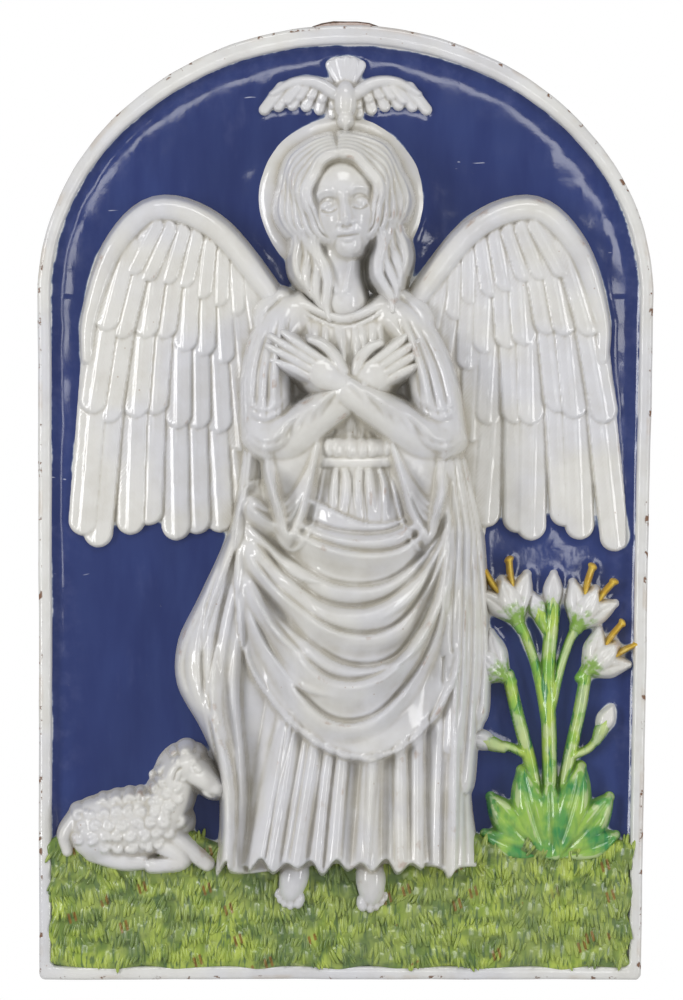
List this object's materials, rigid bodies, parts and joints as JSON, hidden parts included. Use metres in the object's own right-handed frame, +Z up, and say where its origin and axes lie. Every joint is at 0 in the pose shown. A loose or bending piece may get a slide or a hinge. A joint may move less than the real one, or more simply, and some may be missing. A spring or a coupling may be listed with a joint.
{
  "type": "decorative wall plaque",
  "caption": "Arched wall plaque in glazed terracotta: a raised rim round a winged figure with crossed arms in high relief on a blue ground.",
  "frame": {"origin": "on the flat seat of the back, at the hanging point 17 mm below the crown of the arch", "axes": "+Y out of the back towards the wall, +Z up towards the crown, +X to the viewer's right"},
  "size_m": [0.413, 0.074, 0.6448],
  "materials": {
    "white_glaze": null,
    "blue_glaze": "glossy cobalt glaze",
    "green_glaze": "glossy yellow-green glaze, brushed",
    "yellow_glaze": "glossy ochre-yellow glaze",
    "terracotta": null
  },
  "bodies": {
    "root": {"plaque": "white_glaze"}
  },
  "joints": []
}
